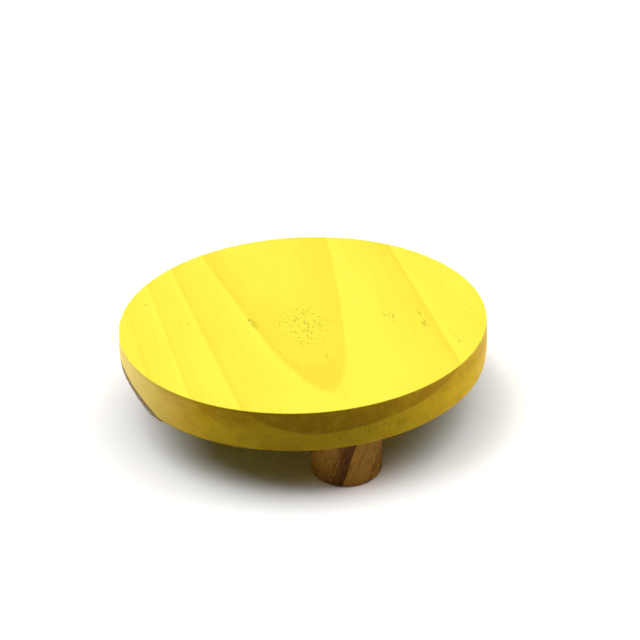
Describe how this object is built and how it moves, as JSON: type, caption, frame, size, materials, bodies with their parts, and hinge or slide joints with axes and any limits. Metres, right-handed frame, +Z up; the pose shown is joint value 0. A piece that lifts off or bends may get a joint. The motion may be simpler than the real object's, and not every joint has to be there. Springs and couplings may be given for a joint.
{
  "type": "chakla rolling board",
  "caption": "Round yellow-dyed wooden chakla: a thick flat disc for rolling out flatbread dough, raised on short turned legs that are screwed to its underside.",
  "frame": {"origin": "on the board's axis, on the surface that the legs stand on", "axes": "+Z up, out of the working face; +Y along the grain, away from the front leg; +X to the right"},
  "size_m": [0.2314, 0.2314, 0.0554],
  "materials": {
    "dyed_wood": "sanded, dyed yellow",
    "leg_wood": "turned, brown stain under thin varnish",
    "screw_steel": "zinc plated, dull"
  },
  "bodies": {
    "root": {"board": "dyed_wood", "leg_front": "leg_wood", "leg_rear_right": "leg_wood", "leg_rear_left": "leg_wood", "screw_front": "screw_steel", "screw_rear_right": "screw_steel", "screw_rear_left": "screw_steel"}
  },
  "joints": []
}
